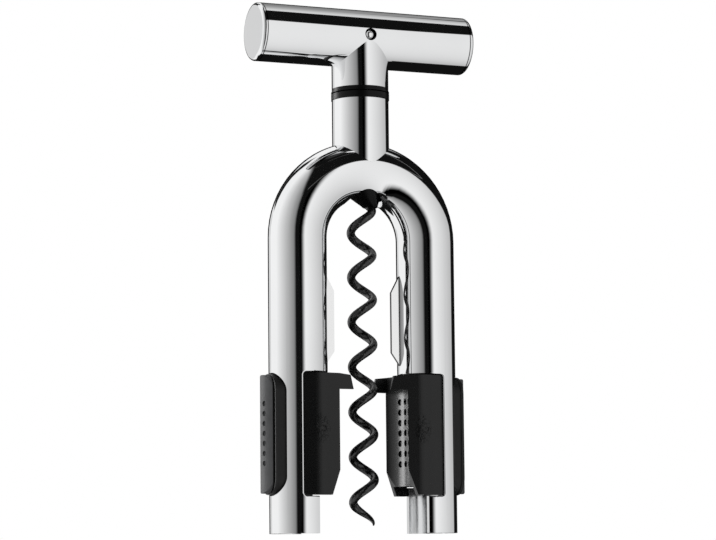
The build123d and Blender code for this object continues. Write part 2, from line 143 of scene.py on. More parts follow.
class CorkscrewPlastic(bpy.types.PropertyGroup):
    jaw: colour("Jaws", "Colour of the jaws", (0.003, 0.0031, 0.0032))
    pad: colour("Pads", "Colour of the finger pads' rims", (0.002, 0.002, 0.002))
    grip: colour("Grips", "Colour of the finger pads' rounded grips", (0.055, 0.056, 0.058))
    grip_reach: length("Grip reach", "Distance from the worm's axis past which a pad is grip", 31.25)
    ring: colour("Rings", "Colour of the two rings and the lower bush", (0.002, 0.002, 0.002))
    hub: colour("Hub", "Colour of the worm's hub", (0.002, 0.002, 0.002))
    jaw_gloss: share("Jaw roughness", "Roughness of the jaws", 0.27)
    pad_gloss: share("Pad roughness", "Roughness of the finger pads", 0.62)
    ring_gloss: share("Ring roughness", "Roughness of the rings", 0.3)
    ring_shine: share("Ring shine", "Specular level of the rings and the hub", 0.15)
    jaw_shine: share("Jaw shine", "Specular level of the jaws", 0.36)
    mark_x: length("Mark place", "Distance of a jaw's mark from the worm's axis", 16.7)
    mark_z: length("Mark height", "Height of a jaw's mark above the leg ends", 31.4)
    scuff_reach: length("Scuff reach", "Reach of the scuff round a jaw's mark", 3.4)
    scuff_depth: length("Scuff depth", "Depth of the scuff", 0.12)
    pad_shine: share("Pad shine", "Specular level of the finger pads", 0.5)
    grain: length("Mould grain", "Size of the grain that the mould leaves", 0.28)
    grain_depth: length("Grain depth", "Depth of the grain", 0.012)


class CorkscrewWorm(bpy.types.PropertyGroup):
    outer_d: length("Outer diameter", "Diameter over the turns of the worm", 9.2)
    wire_d: length("Wire diameter", "Diameter of the worm's wire", 2.6)
    pitch: length("Pitch", "Rise of one turn", 13.8)
    tip_height: length("Tip height", "Height of the point above the leg ends", 2.4)
    top_height: length("Top height", "Height of the wire's end inside the hub", 101.7)
    tip_angle: angle("Tip angle", "Direction of the point from the axis", -26.0)
    tip_d: length("Tip diameter", "Diameter of the wire at the point", 0.35)
    tip_inset: length("Tip inset", "How far the point stands inside the helix", 0.5)
    taper_turn: share("Taper", "Share of a turn over which the wire tapers", 0.4)
    taper_power: share("Taper power", "Below one for a point that swells early", 0.7)
    coating: colour("Coating", "Colour of the worm's coating", (0.003, 0.003, 0.003))
    coating_gloss: share("Coating roughness", "Roughness of the coating", 0.22)
    fleck: length("Fleck size", "Size of the flecks in the coating", 0.6)
    fleck_depth: length("Fleck depth", "Depth of the flecks", 0.05)
    wire_sides: IntProperty(
        name="Wire sides", description="Flats around the wire", min=6, max=64, default=28
    )
    turn_steps: IntProperty(
        name="Steps per turn", description="Rings of points in one turn", min=12, max=144, default=72
    )


class CorkscrewStudio(bpy.types.PropertyGroup):
    floor: colour("Floor", "Colour of the floor", (0.86, 0.86, 0.86))
    fill: FloatProperty(
        name="Fill", description="Light from all round on the plastics", min=0, default=0.5
    )
    key_power: power("Key light", "Power of the large lamp at the upper left", 4.0)
    side_power: power("Side light", "Power of the lamp at the right", 1.6)
    rear_power: power("Rear light", "Power of the rear left lamp, for the plastics alone", 2.8)
    camera_place: FloatVectorProperty(
        name="Camera",
        description="Place of the camera",
        subtype="TRANSLATION",
        unit="LENGTH",
        size=3,
        default=(-0.32607, -0.75568, -0.01168),
    )
    camera_azimuth: angle("Azimuth", "Camera's angle round the corkscrew, from the front", -23.258)
    camera_elevation: angle("Elevation", "Camera's angle above the horizon", -6.412)
    camera_roll: angle("Roll", "Camera's tilt about its own axis", -0.556)
    lens: FloatProperty(
        name="Lens", description="Focal length", unit="CAMERA", min=1, default=135.157
    )


# Node helpers


def add(tree, kind, inputs=None, **settings):
    """A new node with its settings, and its inputs given as values or as sockets to link."""
    made = tree.nodes.new(kind)
    for name, value in settings.items():
        setattr(made, name, value)
    for name, value in (inputs or {}).items():
        if isinstance(value, bpy.types.NodeSocket):
            tree.links.new(value, made.inputs[name])
        else:
            made.inputs[name].default_value = value
    return made


def sum_of(tree, kind, first, second, third=None):
    """A Math node's result."""
    values = {0: first, 1: second}
    if third is not None:
        values[2] = third
    return add(tree, "ShaderNodeMath", values, operation=kind).outputs[0]


def spread(tree, value, low, high, to_low, to_high, smooth=False):
    """A value mapped from one range to another."""
    ramp = add(
        tree,
        "ShaderNodeMapRange",
        {"Value": value, "From Min": low, "From Max": high, "To Min": to_low, "To Max": to_high},
    )
    if smooth:
        ramp.interpolation_type = "SMOOTHSTEP"
    return ramp.outputs[0]


def noise(tree, position, scale, detail=2.0, rough=0.5):
    """A Noise Texture's value at a position."""
    made = add(
        tree,
        "ShaderNodeTexNoise",
        {"Vector": position, "Scale": scale, "Detail": detail, "Roughness": rough},
    )
    return made.outputs[0]


def group_of(name, inputs, outputs):
    """An empty shader group with named sockets, and its input and output nodes."""
    tree = bpy.data.node_groups.new(name, "ShaderNodeTree")
    for socket, kind, value in inputs:
        made = tree.interface.new_socket(socket, in_out="INPUT", socket_type=kind)
        if value is not None:
            made.default_value = value
    for socket, kind in outputs:
        tree.interface.new_socket(socket, in_out="OUTPUT", socket_type=kind)
    return tree, tree.nodes.new("NodeGroupInput"), tree.nodes.new("NodeGroupOutput")


def polish_marks():
    """Haze and the ripples that a polishing wheel leaves on steel."""
    known = bpy.data.node_groups.get("Polish marks")
    if known:
        return known
    tree, given, result = group_of(
        "Polish marks",
        [
            ("Position", "NodeSocketVector", None),
            ("Roughness", "NodeSocketFloat", 0.03),
            ("Haze", "NodeSocketFloat", 0.04),
            ("Mark Size", "NodeSocketFloat", 0.012),
            ("Stretch", "NodeSocketVector", (1, 1, 1)),
        ],
        [("Roughness", "NodeSocketFloat"), ("Height", "NodeSocketFloat")],
    )
    position = given.outputs["Position"]
    pulled = add(
        tree, "ShaderNodeVectorMath", {0: position, 1: given.outputs["Stretch"]}, operation="MULTIPLY"
    ).outputs[0]
    scale = sum_of(tree, "DIVIDE", 1.0, given.outputs["Mark Size"])
    fine_scale = sum_of(tree, "MULTIPLY", scale, 9.0)
    patches = spread(tree, noise(tree, position, scale, 3.0), 0.45, 0.75, 0.0, 1.0, smooth=True)
    lines = spread(tree, noise(tree, pulled, fine_scale, 4.0, 0.6), 0.35, 0.7, 0.0, 1.0)
    wear = sum_of(tree, "MULTIPLY_ADD", lines, 0.35, patches)
    tree.links.new(
        sum_of(tree, "MULTIPLY_ADD", wear, given.outputs["Haze"], given.outputs["Roughness"]),
        result.inputs["Roughness"],
    )
    tree.links.new(noise(tree, pulled, scale, 2.0), result.inputs["Height"])
    return tree


def mould_grain():
    """The fine grain and faint flow marks of moulded plastic."""
    known = bpy.data.node_groups.get("Mould grain")
    if known:
        return known
    tree, given, result = group_of(
        "Mould grain",
        [
            ("Position", "NodeSocketVector", None),
            ("Colour", "NodeSocketColor", (0.02, 0.02, 0.02, 1)),
            ("Roughness", "NodeSocketFloat", 0.5),
            ("Grain Size", "NodeSocketFloat", 0.0003),
            ("Mottle", "NodeSocketFloat", 0.35),
        ],
        [
            ("Colour", "NodeSocketColor"),
            ("Roughness", "NodeSocketFloat"),
            ("Height", "NodeSocketFloat"),
        ],
    )
    position = given.outputs["Position"]
    scale = sum_of(tree, "DIVIDE", 1.0, given.outputs["Grain Size"])
    grain = noise(tree, position, scale, 3.0, 0.65)
    flow = noise(tree, position, 160.0, 3.0, 0.55)
    lift = sum_of(tree, "MULTIPLY_ADD", sum_of(tree, "SUBTRACT", flow, 0.5), 2.0, 1.0)
    level = sum_of(tree, "POWER", lift, given.outputs["Mottle"])
    shade = add(
        tree, "ShaderNodeVectorMath", {0: given.outputs["Colour"], "Scale": level}, operation="SCALE"
    ).outputs[0]
    tree.links.new(shade, result.inputs["Colour"])
    tree.links.new(
        sum_of(
            tree, "MULTIPLY_ADD", sum_of(tree, "SUBTRACT", grain, 0.5), 0.25, given.outputs["Roughness"]
        ),
        result.inputs["Roughness"],
    )
    tree.links.new(grain, result.inputs["Height"])
    return tree


def object_place(tree):
    """The Object coordinates."""
    return add(tree, "ShaderNodeTexCoord").outputs["Object"]


def split(tree, place):
    """The three parts of a position."""
    return add(tree, "ShaderNodeSeparateXYZ", {0: place}).outputs


def length_of(tree, vector):
    """The length of a vector."""
    return add(tree, "ShaderNodeVectorMath", {0: vector}, operation="LENGTH").outputs["Value"]


def without_sign(tree, value):
    """A value with its sign dropped."""
    return sum_of(tree, "ABSOLUTE", value, 0.0)


def principled(material):
    """The material's one Principled shader."""
    return next(n for n in material.node_tree.nodes if n.type == "BSDF_PRINCIPLED")


def new_material(name, shader_inputs):
    """A material with one Principled shader, and its tree, shader and Object coordinates."""
    material = bpy.data.materials.new(name)
    material.use_nodes = True
    tree = material.node_tree
    tree.nodes.clear()
    shader = add(tree, "ShaderNodeBsdfPrincipled", shader_inputs)
    add(tree, "ShaderNodeOutputMaterial", {"Surface": shader.outputs[0]})
    return material, tree, shader, object_place(tree)


def bump(tree, shader, height, depth, strength=1.0):
    """Feeds a height into the shader's Normal."""
    made = add(tree, "ShaderNodeBump", {"Height": height, "Distance": depth, "Strength": strength})
    tree.links.new(made.outputs[0], shader.inputs["Normal"])


def steel_material(name, tint, roughness, haze, mark_size, stretch, ripple, tarnish=0.04):
    """Polished or turned steel with haze, wheel marks and a faint change of tint."""
    material, tree, shader, place = new_material(name, {"Metallic": 1.0})
    marks = add(
        tree,
        "ShaderNodeGroup",
        {
            "Position": place,
            "Roughness": roughness,
            "Haze": haze,
            "Mark Size": mark_size,
            "Stretch": stretch,
        },
        node_tree=polish_marks(),
    )
    dim = spread(tree, noise(tree, place, 45.0, 2.0), 0.3, 0.7, 1.0 - tarnish, 1.0)
    shade = add(tree, "ShaderNodeVectorMath", {0: tint, "Scale": dim}, operation="SCALE").outputs[0]
    tree.links.new(shade, shader.inputs["Base Color"])
    tree.links.new(marks.outputs["Roughness"], shader.inputs["Roughness"])
    bump(tree, shader, marks.outputs["Height"], ripple)
    return material


def chrome_material(name, steel, stretch):
    """Polished chrome plating."""
    return steel_material(
        name, steel.chrome, steel.chrome_gloss, steel.chrome_haze, CHROME_MARK, stretch, steel.ripple
    )


def roughen_inside(material, steel):
    """Leaves the inside of the legs dull and keeps the plating's roughness outside."""
    tree = material.node_tree
    shader = principled(material)
    plated = shader.inputs["Roughness"].links[0].from_socket
    part = split(tree, object_place(tree))
    aside = sum_of(tree, "SUBTRACT", without_sign(tree, part["X"]), steel.leg_x)
    reach = length_of(tree, add(tree, "ShaderNodeCombineXYZ", {"X": aside, "Y": part["Y"]}).outputs[0])
    inside = spread(tree, reach, steel.inside_radius - 0.2 * MM, steel.inside_radius, 1.0, 0.0)
    below = spread(tree, part["Z"], steel.leg_height, steel.leg_height + MM, 1.0, 0.0)
    dull = add(tree, "ShaderNodeMix", {0: sum_of(tree, "MULTIPLY", inside, below)}, data_type="FLOAT")
    tree.links.new(plated, dull.inputs[2])
    dull.inputs[3].default_value = steel.inside_gloss
    tree.links.new(dull.outputs[0], shader.inputs["Roughness"])


def paint_shade_past(material, axis, clean_at, dark_at):
    """Paints a near-black band of shade into steel from one distance to another, measured from the
    middle along an axis.
    """
    tree = material.node_tree
    shader = principled(material)
    clean = shader.inputs["Base Color"].links[0].from_socket
    along = split(tree, object_place(tree))[axis]
    edge = spread(tree, without_sign(tree, along), clean_at, dark_at, 0.0, 1.0)
    shade = add(tree, "ShaderNodeMix", {"Factor": edge}, data_type="RGBA")
    tree.links.new(clean, shade.inputs[6])
    # Near-black colour of the painted shade
    shade.inputs[7].default_value = (0.02, 0.02, 0.02, 1)
    tree.links.new(shade.outputs[2], shader.inputs["Base Color"])


def plastic_material(name, tint, roughness, shine, grain, depth):
    """Moulded plastic with its grain."""
    material, tree, shader, place = new_material(name, {"Specular IOR Level": shine})
    skin = add(
        tree,
        "ShaderNodeGroup",
        {
            "Position": place,
            "Colour": (*tint, 1),
            "Roughness": roughness,
            "Grain Size": grain,
            "Mottle": MOTTLE,
        },
        node_tree=mould_grain(),
    )
    tree.links.new(skin.outputs["Colour"], shader.inputs["Base Color"])
    tree.links.new(skin.outputs["Roughness"], shader.inputs["Roughness"])
    bump(tree, shader, skin.outputs["Height"], depth)
    return material


def dress(names, material):
    """Puts one material on every slot of the named CAD nodes."""
    for name in names:
        for slot in NODES[name].material_slots:
            slot.material = material


# The corkscrew's pieces


class CORKSCREW_OT_frame(bpy.types.Operator):
    """Chrome for the bow and the neck, polished sheet for the fins"""

    bl_idname = "corkscrew.frame"
    bl_label = "Tube frame and fins"

    def execute(self, context):
        steel = context.scene.corkscrew_steel
        dress(["frame_neck"], chrome_material("Polished chrome", steel, ALONG_LEGS))
        bow = chrome_material("Bow chrome", steel, ALONG_LEGS)
        roughen_inside(bow, steel)
        dress(["frame_bow"], bow)
        sheet = steel_material(
            "Polished fin steel",
            steel.fin,
            steel.fin_gloss,
            steel.fin_haze,
            FIN_MARK,
            ALONG_FINS,
            steel.ripple,
        )
        # Painted reflection: the fins' thin edges are coloured near-black, standing for the dark that
        # their rounded edges would mirror.
        paint_shade_past(sheet, "Y", steel.fin_half - 0.02 * MM, steel.fin_half - 0.04 * MM)
        dress(["left_fin", "right_fin"], sheet)
        return {"FINISHED"}


class CORKSCREW_OT_handle(bpy.types.Operator):
    """Chrome for the handle's bar, end caps and stem, and steel for its pin"""

    bl_idname = "corkscrew.handle"
    bl_label = "T-handle"

    def execute(self, context):
        steel = context.scene.corkscrew_steel
        chrome = chrome_material("Handle chrome", steel, ALONG_BAR)
        dress(["left_end_cap", "right_end_cap", "handle_stem"], chrome)
        bar = chrome_material("Bar chrome", steel, ALONG_BAR)
        # Painted shade line at each end of the bar, where the end caps meet it.
        paint_shade_past(bar, "X", steel.bar_half - steel.bar_seam_shade, steel.bar_half - steel.bar_seam_shade / 2)
        dress(["handle_bar"], bar)
        pin = steel_material(
            "Pin steel", steel.fin, steel.fin_gloss, steel.fin_haze, PIN_MARK, ALL_WAYS, steel.ripple
        )
        dress(["handle_pin"], pin)
        return {"FINISHED"}


class CORKSCREW_OT_shaft(bpy.types.Operator):
    """Turned steel for the spindle, the thrust washer and the pads' dowels"""

    bl_idname = "corkscrew.shaft"
    bl_label = "Spindle, washer and dowels"

    def execute(self, context):
        steel = context.scene.corkscrew_steel
        turned = steel_material(
            "Turned steel",
            steel.turned,
            steel.turned_gloss,
            steel.turned_haze,
            TURNED_MARK,
            ROUND_SHAFT,
            steel.ripple,
            steel.turned_tarnish,
        )
        dress(["spindle", "thrust_washer", "left_dowels", "right_dowels"], turned)
        return {"FINISHED"}


class CORKSCREW_OT_rings(bpy.types.Operator):
    """Satin black plastic for the neck's ring, the stem's ring, the lower bush and the hub"""

    bl_idname = "corkscrew.rings"
    bl_label = "Rings and hub"

    def execute(self, context):
        look = context.scene.corkscrew_plastic
        for nodes, name, tint, share_of_depth in (
            (["neck_bush", "stem_ring", "lower_bush"], "Ring plastic", look.ring, 0.3),
            (["worm_hub"], "Hub plastic", look.hub, 0.5),
        ):
            depth = look.grain_depth * share_of_depth
            made = plastic_material(name, tint, look.ring_gloss, look.ring_shine, look.grain, depth)
            dress(nodes, made)
        return {"FINISHED"}


def scuff_marks(material, look):
    """Roughens the plastic round the mark on each face of a jaw."""
    tree = material.node_tree
    shader = principled(material)
    grain = shader.inputs["Normal"].links[0].from_socket
    place = object_place(tree)
    part = split(tree, place)
    aside = sum_of(tree, "SUBTRACT", without_sign(tree, part["X"]), look.mark_x)
    above = sum_of(tree, "MULTIPLY", sum_of(tree, "SUBTRACT", part["Z"], look.mark_z), 0.6)
    reach = length_of(tree, add(tree, "ShaderNodeCombineXYZ", {"X": aside, "Y": above}).outputs[0])
    near = spread(tree, reach, look.scuff_reach * 0.3, look.scuff_reach, 1.0, 0.0, smooth=True)
    blots = spread(tree, noise(tree, place, 900.0, 3.0, 0.6), 0.42, 0.6, 0.0, 1.0, smooth=True)
    scuff = add(
        tree,
        "ShaderNodeBump",
        {
            "Height": sum_of(tree, "MULTIPLY", near, blots),
            "Distance": look.scuff_depth,
            "Normal": grain,
        },
    )
    tree.links.new(scuff.outputs[0], shader.inputs["Normal"])


class CORKSCREW_OT_jaws(bpy.types.Operator):
    """Matte black plastic for the two jaws"""

    bl_idname = "corkscrew.jaws"
    bl_label = "Jaws"

    def execute(self, context):
        look = context.scene.corkscrew_plastic
        jaw = plastic_material(
            "Jaw plastic", look.jaw, look.jaw_gloss, look.jaw_shine, look.grain, look.grain_depth
        )
        scuff_marks(jaw, look)
        dress(["left_jaw", "right_jaw"], jaw)
        return {"FINISHED"}


def lighten_grips(material, look):
    """Gives the rounded grips a paler colour than the rims round them."""
    tree = material.node_tree
    skin = next(n for n in tree.nodes if n.type == "GROUP")
    out = without_sign(tree, split(tree, object_place(tree))["X"])
    grip = spread(tree, out, look.grip_reach, look.grip_reach + 0.2 * MM, 0.0, 1.0)
    tint = add(tree, "ShaderNodeMix", {"Factor": grip}, data_type="RGBA")
    tint.inputs[6].default_value = (*look.pad, 1)
    tint.inputs[7].default_value = (*look.grip, 1)
    tree.links.new(tint.outputs[2], skin.inputs["Colour"])


class CORKSCREW_OT_pads(bpy.types.Operator):
    """Finely textured black plastic for the two finger pads"""

    bl_idname = "corkscrew.pads"
    bl_label = "Finger pads"

    def execute(self, context):
        look = context.scene.corkscrew_plastic
        grain = look.grain * 0.8
        depth = look.grain_depth * 2
        pad = plastic_material("Pad plastic", look.pad, look.pad_gloss, look.pad_shine, grain, depth)
        lighten_grips(pad, look)
        dress(["left_pad", "right_pad"], pad)
        return {"FINISHED"}


def worm_tree():
    """Geometry nodes that wind a wire into a helix with a tapered point."""
    tree = bpy.data.node_groups.new("Worm winding", "GeometryNodeTree")
    for name, kind in (
        ("Helix Radius", "NodeSocketFloat"),
        ("Wire Diameter", "NodeSocketFloat"),
        ("Pitch", "NodeSocketFloat"),
        ("Tip Height", "NodeSocketFloat"),
        ("Turns", "NodeSocketFloat"),
        ("Tip Angle", "NodeSocketFloat"),
        ("Tip Diameter", "NodeSocketFloat"),
        ("Tip Inset", "NodeSocketFloat"),
        ("Taper Turn", "NodeSocketFloat"),
        ("Taper Power", "NodeSocketFloat"),
        ("Steps", "NodeSocketInt"),
        ("Wire Sides", "NodeSocketInt"),
        ("Material", "NodeSocketMaterial"),
    ):
        tree.interface.new_socket(name, in_out="INPUT", socket_type=kind)
    tree.interface.new_socket("Geometry", in_out="OUTPUT", socket_type="NodeSocketGeometry")
    given = tree.nodes.new("NodeGroupInput").outputs
    line = add(tree, "GeometryNodeCurvePrimitiveLine")
    steps = add(tree, "GeometryNodeResampleCurve", {"Curve": line.outputs[0], "Count": given["Steps"]})
    along = add(tree, "GeometryNodeSplineParameter").outputs["Factor"]
    turned = sum_of(tree, "MULTIPLY", along, given["Turns"])
    swing = sum_of(tree, "MULTIPLY_ADD", turned, math.tau, given["Tip Angle"])
    height = sum_of(tree, "MULTIPLY_ADD", turned, given["Pitch"], given["Tip Height"])
    full = spread(tree, turned, 0.0, given["Taper Turn"], 0.0, 1.0)
    short = sum_of(tree, "SUBTRACT", 1.0, full)
    inset = sum_of(tree, "MULTIPLY", sum_of(tree, "POWER", short, 2.0), given["Tip Inset"])
    reach = sum_of(tree, "SUBTRACT", given["Helix Radius"], inset)
    place = add(
        tree,
        "ShaderNodeCombineXYZ",
        {
            "X": sum_of(tree, "MULTIPLY", reach, sum_of(tree, "COSINE", swing, 0.0)),
            "Y": sum_of(tree, "MULTIPLY", reach, sum_of(tree, "SINE", swing, 0.0)),
            "Z": height,
        },
    )
    wound = add(
        tree, "GeometryNodeSetPosition", {"Geometry": steps.outputs[0], "Position": place.outputs[0]}
    )
    grown = sum_of(tree, "POWER", full, given["Taper Power"])
    swell = sum_of(tree, "SUBTRACT", given["Wire Diameter"], given["Tip Diameter"])
    wire_d = sum_of(tree, "MULTIPLY_ADD", swell, grown, given["Tip Diameter"])
    ring = add(
        tree, "GeometryNodeCurvePrimitiveCircle", {"Resolution": given["Wire Sides"], "Radius": 1.0}
    )
    wire = add(
        tree,
        "GeometryNodeCurveToMesh",
        {
            "Curve": wound.outputs[0],
            "Profile Curve": ring.outputs[0],
            "Scale": sum_of(tree, "MULTIPLY", wire_d, 0.5),
            "Fill Caps": True,
        },
    )
    smooth = add(tree, "GeometryNodeSetShadeSmooth", {"Geometry": wire.outputs[0]})
    real = add(tree, "GeometryNodeRealizeInstances", {"Geometry": smooth.outputs[0]})
    coated = add(
        tree,
        "GeometryNodeSetMaterial",
        {"Geometry": real.outputs[0], "Material": given["Material"]},
    )
    tree.links.new(coated.outputs[0], tree.nodes.new("NodeGroupOutput").inputs[0])
    return tree


def grow(name, tree, values):
    """A plain mesh object grown by a geometry tree whose inputs are given by name."""
    seed = bpy.data.objects.new(name + "_seed", bpy.data.meshes.new(name + "_seed"))
    bpy.context.scene.collection.objects.link(seed)
    growth = seed.modifiers.new("Growth", "NODES")
    growth.node_group = tree
    for item in tree.interface.items_tree:
        if item.in_out == "INPUT":
            growth[item.identifier] = values[item.name]
    seed.update_tag()
    bpy.context.view_layer.update()
    evaluated = seed.evaluated_get(bpy.context.evaluated_depsgraph_get())
    mesh = bpy.data.meshes.new_from_object(evaluated)
    seed.modifiers.clear()
    bpy.data.objects.remove(seed)
    if not mesh.polygons:
        raise RuntimeError(f"{name} came out empty")
    mesh.name = name
    shape = bmesh.new()
    shape.from_mesh(mesh)
    bmesh.ops.remove_doubles(shape, verts=shape.verts, dist=1e-7)
    bmesh.ops.recalc_face_normals(shape, faces=shape.faces)
    shape.to_mesh(mesh)
    shape.free()
    piece = bpy.data.objects.new(name, mesh)
    bpy.context.scene.collection.objects.link(piece)
    return piece


def worm_coating(look):
    """Satin non-stick coating with fine flecks: the flecks are bumps in the coating, and their paler
    colour is a painted highlight.
    """
    material, tree, shader, place = new_material("Worm coating", {"IOR": 1.6})
    size = 1.0 / look.fleck
    flecks = noise(tree, place, size, 4.0, 0.62)
    streaks = noise(tree, place, size * 0.3, 2.0)
    # Painted highlight: this mask lifts the coating's colour toward pale grey at the flecks, standing
    # for broken-up glints on the wire.
    bright = spread(tree, flecks, 0.55, 0.72, 0.0, 1.0, smooth=True)
    tint = add(
        tree,
        "ShaderNodeMix",
        {"Factor": sum_of(tree, "MULTIPLY", bright, 0.6)},
        data_type="RGBA",
    )
    tint.inputs[6].default_value = (*look.coating, 1)
    # Pale grey of the painted glints
    tint.inputs[7].default_value = (0.2, 0.2, 0.2, 1)
    tree.links.new(tint.outputs[2], shader.inputs["Base Color"])
    gloss = look.coating_gloss
    dull = spread(tree, streaks, 0.35, 0.65, gloss - 0.12, gloss + 0.15)
    tree.links.new(dull, shader.inputs["Roughness"])
    bump(tree, shader, flecks, look.fleck_depth)
    return material


class CORKSCREW_OT_worm(bpy.types.Operator):
    """Winds the worm's wire and coats it"""

    bl_idname = "corkscrew.worm"
    bl_label = "Worm"

    def execute(self, context):
        look = context.scene.corkscrew_worm
        turns = (look.top_height - look.tip_height) / look.pitch
        coating = worm_coating(look)
        values = {
            "Helix Radius": (look.outer_d - look.wire_d) / 2,
            "Wire Diameter": look.wire_d,
            "Pitch": look.pitch,
            "Tip Height": look.tip_height,
            "Turns": turns,
            "Tip Angle": look.tip_angle,
            "Tip Diameter": look.tip_d,
            "Tip Inset": look.tip_inset,
            "Taper Turn": look.taper_turn,
            "Taper Power": look.taper_power,
            "Steps": int(turns * look.turn_steps),
            "Wire Sides": look.wire_sides,
            "Material": coating,
        }
        piece = grow("worm_wire", worm_tree(), values)
        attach(piece, "handle")
        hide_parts("worm")
        return {"FINISHED"}


# The studio


def studio_card():
    """A soft-edged card of the surroundings, by its direction in degrees."""
    tree, given, result = group_of(
        "Studio card",
        [
            ("Azimuth", "NodeSocketFloat", 0.0),
            ("Elevation", "NodeSocketFloat", 0.0),
            ("Middle Azimuth", "NodeSocketFloat", 0.0),
            ("Middle Elevation", "NodeSocketFloat", 0.0),
            ("Half Width", "NodeSocketFloat", 10.0),
            ("Half Height", "NodeSocketFloat", 10.0),
            ("Edge", "NodeSocketFloat", 1.0),
        ],
        [("Mask", "NodeSocketFloat")],
    )
    out = given.outputs
    aside = sum_of(tree, "SUBTRACT", out["Azimuth"], out["Middle Azimuth"])
    aside = without_sign(tree, sum_of(tree, "WRAP", aside, 180.0, -180.0))
    above = sum_of(tree, "SUBTRACT", out["Elevation"], out["Middle Elevation"])
    above = without_sign(tree, above)
    inside = []
    for off, half in ((aside, "Half Width"), (above, "Half Height")):
        room = sum_of(tree, "SUBTRACT", out[half], off)
        inside.append(spread(tree, room, 0.0, out["Edge"], 0.0, 1.0, smooth=True))
    tree.links.new(sum_of(tree, "MULTIPLY", *inside), result.inputs["Mask"])
    return tree


def light_studio(context, look):
    """White to the camera, a white tent with black flags to the metal, and an even fill."""
    world = bpy.data.worlds.new("Studio")
    context.scene.world = world
    world.use_nodes = True
    tree = world.node_tree
    tree.nodes.clear()
    ray = add(tree, "ShaderNodeTexCoord").outputs["Generated"]
    part = split(tree, ray)
    to_degrees = math.degrees(1)
    front = sum_of(tree, "MULTIPLY", part["Y"], -1.0)
    azimuth = sum_of(tree, "MULTIPLY", sum_of(tree, "ARCTAN2", part["X"], front), to_degrees)
    elevation = sum_of(tree, "MULTIPLY", sum_of(tree, "ARCSINE", part["Z"], 0.0), to_degrees)
    card = studio_card()
    white, grey, dim, dark = 1.02, 0.74, 0.04, 0.006
    left_wall = spread(tree, azimuth, -112.0, -35.0, white, 0.27)
    left_fade = spread(tree, azimuth, -37.0, -26.0, 1.0, 0.02, smooth=True)
    left_wall = sum_of(tree, "MULTIPLY", left_wall, left_fade)
    left_side = spread(tree, azimuth, -20.0, -21.0, 0.0, 1.0)
    lean = without_sign(tree, sum_of(tree, "ADD", elevation, 8.0))
    leaning = sum_of(tree, "MULTIPLY_ADD", lean, -0.2, azimuth)
    right_wall = spread(tree, azimuth, 10.0, 88.0, 0.98, 0.6)
    right_fade = spread(tree, leaning, -10.0, 8.0, 0.0, 1.0, smooth=True)
    right_wall = sum_of(tree, "MULTIPLY", right_wall, right_fade)
    overhead = spread(tree, azimuth, 95.0, 158.0, 0.74, 0.16)

    def past(normal, low, high):
        """How far a direction lies past a straight edge that runs through the corkscrew."""
        along = add(tree, "ShaderNodeVectorMath", {0: ray, 1: normal}, operation="DOT_PRODUCT")
        return spread(tree, along.outputs["Value"], low, high, 0.0, 1.0, smooth=True)

    roof_side = past((0.929, -0.271, 0.25), -0.13, 0.01)
    below_roof = past((0.295, -0.511, -0.808), 0.0, 0.035)

    def over(below, level, place, half, edge, within=None):
        """Lays a card of one brightness over what is below it."""
        laid = add(
            tree,
            "ShaderNodeGroup",
            {
                "Azimuth": azimuth,
                "Elevation": elevation,
                "Middle Azimuth": place[0],
                "Middle Elevation": place[1],
                "Half Width": half[0],
                "Half Height": half[1],
                "Edge": edge,
            },
            node_tree=card,
        ).outputs[0]
        if within:
            laid = sum_of(tree, "MULTIPLY", laid, within)
        mix = add(tree, "ShaderNodeMix", {"Factor": laid}, data_type="FLOAT")
        for socket, value in ((2, below), (3, level)):
            if isinstance(value, bpy.types.NodeSocket):
                tree.links.new(value, mix.inputs[socket])
            else:
                mix.inputs[socket].default_value = value
        return mix.outputs[0]

    tent = add(tree, "ShaderNodeMix", {"Factor": left_side}, data_type="FLOAT")
    tent.inputs[2].default_value = white
    tree.links.new(left_wall, tent.inputs[3])
    level = tent.outputs[0]
    all_round = 200.0
    for card_level, middle, half, edge, within in (
        # light overhead, at the rear right
        (overhead, (119.0, 75.0), (43.0, 19.0), 5.0, None),
        (overhead, (145.0, 44.0), (17.0, 20.0), 6.0, None),
        # dark flags at the right, below and above
        (dark, (81.0, -21.0), (111.0, 58.0), 3.0, None),
        (dark, (105.0, 44.0), (30.0, 17.0), 4.0, None),
        # the dark roof over the front, and its inner part
        (dark, (-8.5, 52.0), (86.5, 18.0), 2.0, roof_side),
        (dark, (-25.0, 77.0), (72.0, 9.5), 2.0, roof_side),
        # dim straight above, dark straight below
        (dim, (0.0, 90.0), (all_round, 12.0), 4.0, None),
        (dark, (0.0, -90.0), (all_round, 13.0), 4.0, None),
        # the pale wall at the right, below the roof
        (right_wall, (43.0, -19.0), (60.0, 60.0), 7.0, below_roof),
        # dark and grey cards at the rear left
        (dark, (-161.0, 39.0), (11.0, 21.0), 4.0, None),
        (dark, (-156.0, -56.0), (20.0, 22.0), 4.0, None),
        (grey, (-159.0, 5.0), (8.5, 14.0), 3.0, None),
    ):
        level = over(level, card_level, middle, half, edge, within)
    seen = add(tree, "ShaderNodeBackground", {"Color": (1, 1, 1, 1), "Strength": 1.0})
    mirrored = add(tree, "ShaderNodeBackground", {"Color": level, "Strength": 1.0})
    spread_light = add(tree, "ShaderNodeBackground", {"Color": (1, 1, 1, 1), "Strength": look.fill})
    path = add(tree, "ShaderNodeLightPath").outputs
    glossy = sum_of(tree, "MAXIMUM", path["Is Glossy Ray"], path["Is Transmission Ray"])
    soft = add(
        tree, "ShaderNodeMixShader", {0: glossy, 1: spread_light.outputs[0], 2: mirrored.outputs[0]}
    )
    shown = add(
        tree, "ShaderNodeMixShader", {0: path["Is Camera Ray"], 1: soft.outputs[0], 2: seen.outputs[0]}
    )
    add(tree, "ShaderNodeOutputWorld", {"Surface": shown.outputs[0]})


